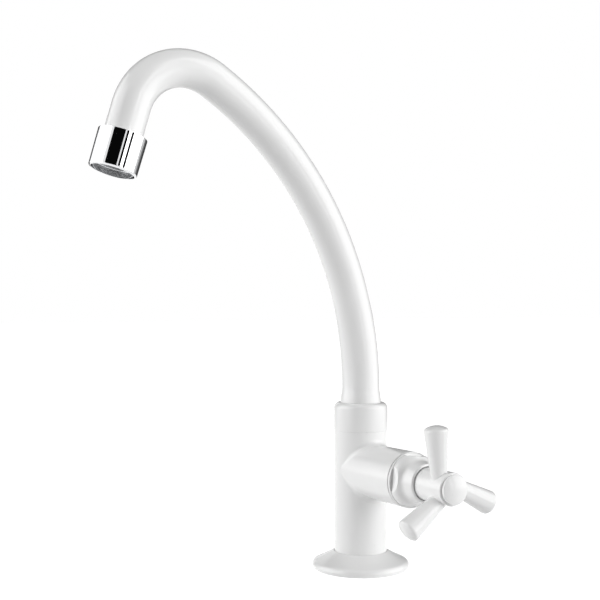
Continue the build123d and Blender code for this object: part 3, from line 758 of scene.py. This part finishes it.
@dataclass
class WorktopClamp(Assembly):
    """The threaded shank and the pieces that clamp the tap to the worktop."""

    carried: ClassVar[dict[str, Finish]] = {
        "clamp_gasket": BLACK_RUBBER, "clamp_washer": PRESSED_STEEL, "clamp_nut": SATIN_GREY,
    }
    crest: float = 10.4775
    root: float = 9.3155
    pitch: float = 1.814
    flat_share: float = 0.125
    bore: float = 6.5
    foot: float = -48.0
    seat: float = 16.0
    chamfer: float = 1.0
    relief: tuple[float, float] = (-33.5, -32.0)
    thread_top: float = -0.6
    step: float = 0.02
    loop_slack: float = 0.1
    steps_per_turn: int = 48

    def _thread(self, low: float, high: float) -> bmesh.types.BMesh:
        """Spins one tooth along a helix and trims it square to the axis.

        Args:
            low: Height of the thread's lower end.
            high: Height of its upper end.

        Returns:
            The open threaded skin.
        """
        turns = math.ceil((high - low) / self.pitch) + 2
        start = low - self.pitch
        flat = self.pitch * self.flat_share
        tooth = ((self.root, 0.0), (self.root, flat), (self.crest, self.pitch / 2.0 - flat / 2.0),
                 (self.crest, self.pitch / 2.0 + flat / 2.0), (self.root, self.pitch - flat / 2.0),
                 (self.root, self.pitch))
        outline = Profile(tooth[0][0], start)
        for radius, rise in tooth[1:]:
            outline.line(radius, start + rise)
        skin = outline.mesh
        bmesh.ops.spin(
            skin, geom=skin.verts[:] + skin.edges[:], cent=(0, 0, 0), axis=(0, 0, 1),
            dvec=(0, 0, self.pitch / self.steps_per_turn), angle=math.tau * turns,
            steps=self.steps_per_turn * turns, use_merge=False, use_normal_flip=False,
            use_duplicate=False,
        )
        bmesh.ops.remove_doubles(skin, verts=skin.verts[:], dist=MERGE_DISTANCE)
        for height, upper in ((low, False), (high, True)):
            bmesh.ops.bisect_plane(
                skin, geom=skin.verts[:] + skin.edges[:] + skin.faces[:], dist=CUT_TOLERANCE,
                plane_co=(0, 0, height), plane_no=(0, 0, 1), clear_outer=upper,
                clear_inner=not upper,
            )
        return skin

    def build(self) -> None:
        """Builds the shank: cut thread below and above the relief, plain where it is fixed."""
        mesh = bmesh.new()
        for low, high in ((self.foot + self.chamfer, self.relief[0]),
                          (self.relief[1], self.thread_top)):
            skin = self._thread(low, high)
            part = bpy.data.meshes.new("thread_skin")
            skin.to_mesh(part)
            skin.free()
            mesh.from_mesh(part)
            bpy.data.meshes.remove(part)
        low, high = self.relief[0] + self.step, self.relief[1] - self.step
        plain = self.thread_top + self.step
        for first, second in (
                ((self.foot, self.root), (self.foot + self.chamfer, None)),
                ((self.relief[0], None), (low, self.root)),
                ((high, self.root), (self.relief[1], None)),
                ((self.thread_top, None), (plain, self.crest)),
                ((low, self.root), (high, self.root)),
                ((plain, self.crest), (self.seat, self.crest)),
                ((self.seat, self.crest), (self.seat, self.bore)),
                ((self.seat, self.bore), (self.foot, self.bore)),
                ((self.foot, self.bore), (self.foot, self.root))):
            edges = self._loop_at(mesh, *first) + self._loop_at(mesh, *second)
            bmesh.ops.bridge_loops(mesh, edges=edges)
        piece = make_piece("inlet_shank_threaded", mesh, Station.COLUMN)
        self.fit(piece, WHITE_GLOSS, "inlet_shank")

    def _loop_at(self, mesh: bmesh.types.BMesh, height: float,
                 radius: float | None) -> list[bmesh.types.BMEdge]:
        """Finds the thread's open loop at a height, or draws a circle there.

        Args:
            mesh: The shank's mesh.
            height: Height of the loop.
            radius: Radius of a circle to draw, or None for the thread's own loop.

        Returns:
            The loop's edges.
        """
        if radius is None:
            inside = self.root - self.loop_slack
            return [e for e in mesh.edges if e.is_boundary
                    and all(abs(v.co.z - height) < LOOP_TOLERANCE for v in e.verts)
                    and all(v.co.xy.length > inside for v in e.verts)]
        made = bmesh.ops.create_circle(mesh, segments=TURN_STEPS, radius=radius,
                                       matrix=Matrix.Translation((0, 0, height)))["verts"]
        return list({e for v in made for e in v.link_edges})


@dataclass
class SwanNeck(Assembly):
    """The swept tube with the stem that turns in the column's neck."""

    body: ClassVar[Body] = Body.SPOUT
    carried: ClassVar[dict[str, Finish]] = {
        "spout_stem": WHITE_GLOSS, "stem_oring_lower": BLACK_RUBBER,
        "stem_oring_upper": BLACK_RUBBER, "thrust_ring": NATURAL_NYLON,
    }
    foot: float = 86.4
    bore: tuple[tuple[float, float], ...] = ((0.0, 7.5), (265.6, 7.5))
    taper: tuple[tuple[float, float], ...] = (
        (0.0, 10.8), (2.4, 10.8), (10.4, 9.97), (36.0, 9.95), (60.0, 9.6), (195.5, 9.52),
        (222.0, 9.42), (265.6, 9.42),
    )
    runs: tuple[tuple[float, float, int], ...] = (
        (9.6, 0.0, 10), (182.4, 58.4, 64), (1.9, 0.0, 1), (29.2, 104.9, 60), (14.7, 0.0, 2),
    )

    def _wall(self, mesh: bmesh.types.BMesh,
              taper: Sequence[tuple[float, float]]) -> tuple[list, list]:
        """Carries a circle along the tube's line, through its straights and bends.

        Args:
            mesh: The tube's mesh.
            taper: Distances along the line, and this wall's radius there.

        Returns:
            The edges of its first and last ring.
        """
        centre, heading, travelled = Vector((0, 0, self.foot)), 0.0, 0.0
        size = radius_at(taper, 0.0)
        ring = bmesh.ops.create_circle(mesh, segments=TURN_STEPS, radius=size,
                                       matrix=Matrix.Translation(centre))["verts"]
        first = list({e for v in ring for e in v.link_edges})
        edges = first
        for reach, bend, steps in self.runs:
            turn = math.radians(bend) / steps
            stride = reach * turn if bend else reach / steps
            chord = 2.0 * reach * math.sin(turn / 2.0) if bend else stride
            for _ in range(steps):
                travelled += stride
                wanted = radius_at(taper, travelled)
                ahead = heading + turn / 2.0
                goal = centre + Vector((0, -math.sin(ahead), math.cos(ahead))) * chord
                edges = extrude_ring(mesh, edges, Matrix.Translation(goal)
                                     @ Matrix.Rotation(turn, 4, "X")
                                     @ Matrix.Scale(wanted / size, 4)
                                     @ Matrix.Translation(-centre))
                centre, heading, size = goal, heading + turn, wanted
        return first, edges

    def build(self) -> None:
        """Sweeps the tube's outer and inner wall and joins them at both ends."""
        mesh = bmesh.new()
        outer, inner = self._wall(mesh, self.taper), self._wall(mesh, self.bore)
        for first, second in zip(outer, inner):
            bmesh.ops.bridge_loops(mesh, edges=first + second)
        piece = make_piece("spout_tube_swept", mesh, Station.COLUMN)
        self.fit(piece, WHITE_GLOSS, "spout_tube")


@dataclass
class CollarSeat(Assembly):
    """The collar that holds the spout down, and the washer under the stem's shoulder."""

    carried: ClassVar[dict[str, Finish]] = {"slip_washer": NATURAL_NYLON}
    radius: float = 14.3
    foot: float = 73.75
    top: float = 88.65
    top_round: float = 3.0
    inner: float = 12.1
    lip_base: float = 87.15
    lip_hole: float = 11.1
    edge: float = 0.25
    seam_round: float = 0.12

    def build(self) -> None:
        """Turns the collar."""
        outline = Profile(self.inner, self.foot, self.edge)
        outline.line(self.radius, self.foot, self.seam_round)
        outline.line(self.radius, self.top, self.top_round)
        outline.line(self.lip_hole, self.top, self.edge).line(self.lip_hole, self.lip_base)
        outline.line(self.inner, self.lip_base)
        piece = make_piece("spout_collar_turned", outline.close().spun(), Station.COLUMN)
        self.fit(piece, WHITE_GLOSS, "spout_collar")


@dataclass
class FlowOutlet(Assembly):
    """The chromed sleeve with the flow insert, on the spout's threaded end."""

    body: ClassVar[Body] = Body.SPOUT
    carried: ClassVar[dict[str, Finish]] = {
        "outlet_adaptor": WHITE_GLOSS, "aerator_gasket": BLACK_RUBBER,
        # The insert's finish carries painted shade of the sleeve's hollow.
        "aerator_insert": SHADE_DARKENED_INSERT, "aerator_screen": WOVEN_STEEL,
    }
    radius: float = 12.0
    end_radius: float = 11.75
    height: float = 18.6
    thread_radius: float = 11.0
    step: float = 10.6
    bore: float = 10.1
    mouth_start: float = 15.1
    mouth_radius: float = 10.6
    top_round: float = 0.25
    bottom_round: float = 1.0
    edge: float = 0.12

    def build(self) -> None:
        """Turns the sleeve: crisp at its top, full at its lower edge, stepped inside."""
        outline = Profile(self.thread_radius, 0.0, self.edge)
        outline.line(self.radius, 0.0, self.top_round)
        outline.line(self.end_radius, self.height, self.bottom_round)
        outline.line(self.mouth_radius, self.height, self.edge)
        outline.line(self.mouth_radius, self.mouth_start, self.edge)
        outline.line(self.bore, self.mouth_start, self.edge)
        outline.line(self.bore, self.step).line(self.thread_radius, self.step)
        piece = make_piece("aerator_sleeve", outline.close().spun(SLEEVE_STEPS), Station.OUTLET)
        self.fit(piece, POLISHED_CHROME, "aerator_housing")


@dataclass
class QuarterTurnValve(Assembly):
    """The bonnet and the valve pieces that stand still."""

    carried: ClassVar[dict[str, Finish]] = {
        "valve_bonnet": WHITE_GLOSS, "bonnet_seal": BLACK_RUBBER, "seat_gasket": BLACK_RUBBER,
        "fixed_disc": LAPPED_CERAMIC, "spindle_washer": NATURAL_NYLON,
    }

    def build(self) -> None:
        """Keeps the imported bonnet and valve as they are."""


@dataclass
class ThreeArmHandle(Assembly):
    """The handle with its cap and screw, and the spindle and disc that turn with it."""

    body: ClassVar[Body] = Body.HANDLE
    carried: ClassVar[dict[str, Finish]] = {
        "handle": WHITE_GLOSS, "handle_screw": BRANCH_STEEL, "spindle": TURNED_BRASS,
        "spindle_oring_inner": BLACK_RUBBER, "spindle_oring_outer": BLACK_RUBBER,
        "moving_disc": LAPPED_CERAMIC, "spindle_clip": BRANCH_STEEL,
    }
    radius: float = 7.3
    neck_radius: float = 7.0
    start: float = 78.6
    rim: float = 1.75
    rim_round: float = 0.4
    height: float = 3.9
    dome_steps: int = 16
    neck_edge: float = 0.1
    spigot: tuple[float, float] = (4.7, 6.1)
    spigot_end: float = 75.9
    spigot_edge: float = 0.2

    def build(self) -> None:
        """Turns the cap: a shallow dome that overhangs its neck, with a hollow spigot."""
        rim_height, crown = self.start + self.rim, self.start + self.height
        rise = self.height - self.rim
        sweep = (self.radius ** 2 + rise ** 2) / (2.0 * rise)
        half = math.asin(self.radius / sweep) / 2.0
        middle = (sweep * math.sin(half), crown - sweep * (1.0 - math.cos(half)))
        outline = Profile(0.0, crown).arc(middle, (self.radius, rim_height), self.dome_steps)
        outline.rounds.append((outline.last, self.rim_round))
        inner, outer = self.spigot
        outline.line(self.neck_radius, self.start, self.neck_edge).line(outer, self.start)
        outline.line(outer, self.spigot_end, self.spigot_edge)
        outline.line(inner, self.spigot_end, self.spigot_edge)
        outline.line(inner, self.start).line(0.0, self.start)
        piece = make_piece("handle_cap_turned", outline.spun(), Station.BRANCH)
        self.fit(piece, WHITE_GLOSS, "handle_cap")


@dataclass(frozen=True)
class Flag:
    """A tall card or bright panel beside the set that only reflections see.

    Angles are seen from the outlet, in degrees from the camera, positive to its right.
    """

    name: str
    start: float
    end: float
    glow: float
    foot: float = 0.0
    top: float = 0.9
    distance: float = 0.8


@dataclass(frozen=True)
class Lamp:
    """A broad soft lamp, with its strength for a surface that faces it.

    Its turn is seen from the column, in degrees from the camera, positive to its right.
    """

    name: str
    turn: float
    rise: float
    strength: float
    spread: float = 45.0


def make_prop(name: str, mesh: bmesh.types.BMesh) -> tuple[bpy.types.Object, Wiring]:
    """Turns a mesh in metres into an object of the studio, with an empty material.

    Args:
        name: The name of the object and its material.
        mesh: Its mesh; it is used up.

    Returns:
        The object, and a helper on its material's tree.
    """
    data = bpy.data.meshes.new(name)
    mesh.to_mesh(data)
    mesh.free()
    prop = bpy.data.objects.new(name, data)
    bpy.context.scene.collection.objects.link(prop)
    paint = bpy.data.materials.new(name)
    paint.use_nodes = True
    paint.node_tree.nodes.clear()
    data.materials.append(paint)
    return prop, Wiring(paint.node_tree)


@dataclass
class Studio:
    """The camera, the lamps, the white surroundings, the floor and the cards round the set."""

    camera_place: tuple[float, float, float] = (0.4902, -0.3326, 0.1434)
    camera_aim: tuple[float, float, float] = (-0.857, 0.515, 0.0)
    lens: float = 66.0
    sensor: float = 36.0
    near: float = 0.01
    surround: float = 1.0
    ambient: float = 0.16
    floor_half: float = 6.0
    floor_tone: float = 0.45
    floor_lift: float = 0.88
    floor_bounce: float = 0.32
    outlet: tuple[float, float] = (0.0, -0.138)
    lamps: tuple[Lamp, ...] = (
        Lamp("lamp_right", 67.0, 17.0, 2.22),
        Lamp("lamp_left", -85.0, 17.0, 2.08),
    )
    cards: tuple[Flag, ...] = (
        Flag("card_wide", -40.0, 15.0, 0.003),
        Flag("card_narrow", 21.5, 31.0, 0.003),
        Flag("card_thin", 43.0, 53.0, 0.01),
        Flag("card_right_pale", 118.0, 127.0, 0.4),
        Flag("card_right_mid", 127.0, 136.0, 0.22),
        Flag("card_right_back", 136.0, 166.0, 0.06),
        Flag("card_left_back", -170.0, -144.0, 0.04),
        Flag("card_top_back", 138.0, 222.0, 0.06, 0.5, 1.3),
        Flag("panel_right", 31.0, 106.0, 3.0, top=1.3, distance=0.95),
        Flag("panel_left", -130.0, -54.0, 3.0, top=1.3, distance=0.95),
    )

    def build(self) -> None:
        """Builds the whole studio."""
        self._camera()
        self._world()
        self._floor()
        for lamp in self.lamps:
            self._lamp(lamp)
        for card in self.cards:
            self._card(card)

    def _camera(self) -> None:
        """Stands the camera where the photograph was taken."""
        lens = bpy.data.cameras.new("photo_camera")
        lens.lens, lens.sensor_width, lens.clip_start = self.lens, self.sensor, self.near
        camera = bpy.data.objects.new("photo_camera", lens)
        camera.location = self.camera_place
        camera.rotation_euler = Vector(self.camera_aim).to_track_quat("-Z", "Y").to_euler()
        bpy.context.scene.collection.objects.link(camera)
        bpy.context.scene.camera = camera

    def _lamp(self, lamp: Lamp) -> None:
        """Hangs one lamp far off, so that it lights the whole set alike.

        Args:
            lamp: Its place, strength and softness.
        """
        light = bpy.data.lights.new(lamp.name, "SUN")
        light.energy, light.angle = lamp.strength, math.radians(lamp.spread)
        facing = math.atan2(self.camera_place[1], self.camera_place[0])
        turn, rise = facing + math.radians(lamp.turn), math.radians(lamp.rise)
        towards = Vector((math.cos(turn) * math.cos(rise), math.sin(turn) * math.cos(rise),
                          math.sin(rise)))
        holder = bpy.data.objects.new(lamp.name, light)
        holder.location = towards
        holder.rotation_euler = towards.to_track_quat("Z", "Y").to_euler()
        holder.visible_glossy = False
        bpy.context.scene.collection.objects.link(holder)

    @staticmethod
    def _seen(wiring: Wiring) -> bpy.types.NodeSocket:
        """Tells the rays that show the surroundings from those that light the set.

        Args:
            wiring: Helper on the world's or the floor's tree.

        Returns:
            1 for camera, glossy and transmission rays, 0 for the rest.
        """
        rays = wiring.node("ShaderNodeLightPath")
        return wiring.maths("MAXIMUM", rays.outputs["Is Camera Ray"], wiring.maths(
            "MAXIMUM", rays.outputs["Is Glossy Ray"], rays.outputs["Is Transmission Ray"]))

    def _world(self) -> None:
        """Surrounds the set with white, and fills its shadows a little from all round."""
        world = bpy.data.worlds.new("white_surround")
        world.use_nodes = True
        sky = next(n for n in world.node_tree.nodes if n.type == "BACKGROUND")
        sky.inputs["Color"].default_value = (1.0, 1.0, 1.0, 1.0)
        wiring = Wiring(world.node_tree)
        strength = wiring.spread(self._seen(wiring), to_low=self.ambient, to_high=self.surround)
        wiring.link(strength, sky.inputs["Strength"])
        bpy.context.scene.world = world
        bpy.context.scene.view_settings.view_transform = "Standard"

    def _floor(self) -> None:
        """Lays a white floor that keeps the tap's shadow and blocks no lamp."""
        mesh = bmesh.new()
        bmesh.ops.create_grid(mesh, x_segments=1, y_segments=1, size=self.floor_half)
        floor, wiring = make_prop("floor", mesh)
        floor.visible_shadow = False
        matt = wiring.node("ShaderNodeBsdfDiffuse")
        matt.inputs["Color"].default_value = (*(self.floor_tone,) * 3, 1.0)
        lift = wiring.node("ShaderNodeEmission")
        strength = wiring.spread(self._seen(wiring), to_low=self.floor_bounce,
                                 to_high=self.floor_lift)
        wiring.link(strength, lift.inputs["Strength"])
        both = wiring.node("ShaderNodeAddShader")
        wiring.link(matt.outputs[0], both.inputs[0])
        wiring.link(lift.outputs[0], both.inputs[1])
        wiring.link(both.outputs[0], wiring.node("ShaderNodeOutputMaterial").inputs["Surface"])

    def _card(self, card: Flag) -> None:
        """Stands one card round the set.

        Args:
            card: Its place, brightness and height.
        """
        centre = Vector((*self.outlet, 0.0))
        to_camera = Vector(self.camera_place) - centre
        facing = math.atan2(to_camera.y, to_camera.x)
        mesh = bmesh.new()
        start = mesh.verts.new((card.distance, 0.0, card.foot))
        end = mesh.verts.new((card.distance, 0.0, card.top))
        edge = mesh.edges.new((start, end))
        turn = facing + math.radians(card.start)
        bmesh.ops.rotate(mesh, verts=[start, end], cent=(0, 0, 0),
                         matrix=Matrix.Rotation(turn, 3, "Z"))
        bmesh.ops.spin(
            mesh, geom=[start, end, edge], cent=(0, 0, 0), axis=(0, 0, 1), dvec=(0, 0, 0),
            angle=math.radians(card.end - card.start), steps=CARD_STEPS, use_merge=False,
            use_normal_flip=False, use_duplicate=False,
        )
        bmesh.ops.translate(mesh, verts=mesh.verts, vec=centre)
        piece, wiring = make_prop(card.name, mesh)
        piece.visible_camera = piece.visible_diffuse = piece.visible_shadow = False
        light = wiring.node("ShaderNodeEmission")
        light.inputs["Strength"].default_value = card.glow
        wiring.link(light.outputs[0], wiring.node("ShaderNodeOutputMaterial").inputs["Surface"])


def main() -> None:
    """Builds the studio, then each sub-assembly of the tap in order."""
    logging.basicConfig(level=logging.INFO, format="%(name)s: %(message)s")
    Studio().build()
    for group in (ColumnFoot(), WorktopClamp(), CollarSeat(), SwanNeck(), FlowOutlet(),
                  QuarterTurnValve(), ThreeArmHandle()):
        group.build()
        group.dress_carried()


if __name__ == "__main__":
    main()
